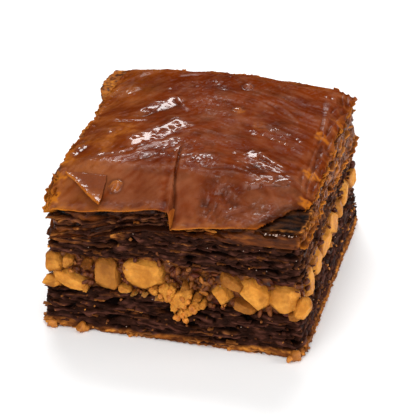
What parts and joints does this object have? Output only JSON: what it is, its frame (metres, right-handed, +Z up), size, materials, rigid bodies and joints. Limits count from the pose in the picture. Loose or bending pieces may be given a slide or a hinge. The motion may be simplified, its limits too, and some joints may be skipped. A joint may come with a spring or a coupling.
{
  "type": "chocolate baklava piece",
  "caption": "Square-cut piece of chocolate baklava: dark pastry leaves below and above a layer of chopped hazelnuts, under a glossy, torn and wrinkled top sheet.",
  "frame": {"origin": "centre of the flat underside, on the surface that the piece rests on", "axes": "+Z up through the layers, +X towards the right side, +Y towards the back along the longer side; the cut face that shows best looks along -Y"},
  "size_m": [0.0551, 0.0603, 0.0343],
  "materials": {
    "cocoa_pastry": "matte flaky cocoa pastry, near black, browned underneath",
    "hazelnut_filling": "satin chopped roasted hazelnut",
    "glazed_pastry": "syrup-glazed chocolate pastry, glossy brown with amber edges"
  },
  "bodies": {
    "root": {"lower_pastry": "cocoa_pastry", "nut_filling": "hazelnut_filling", "upper_pastry": "glazed_pastry"}
  },
  "joints": []
}
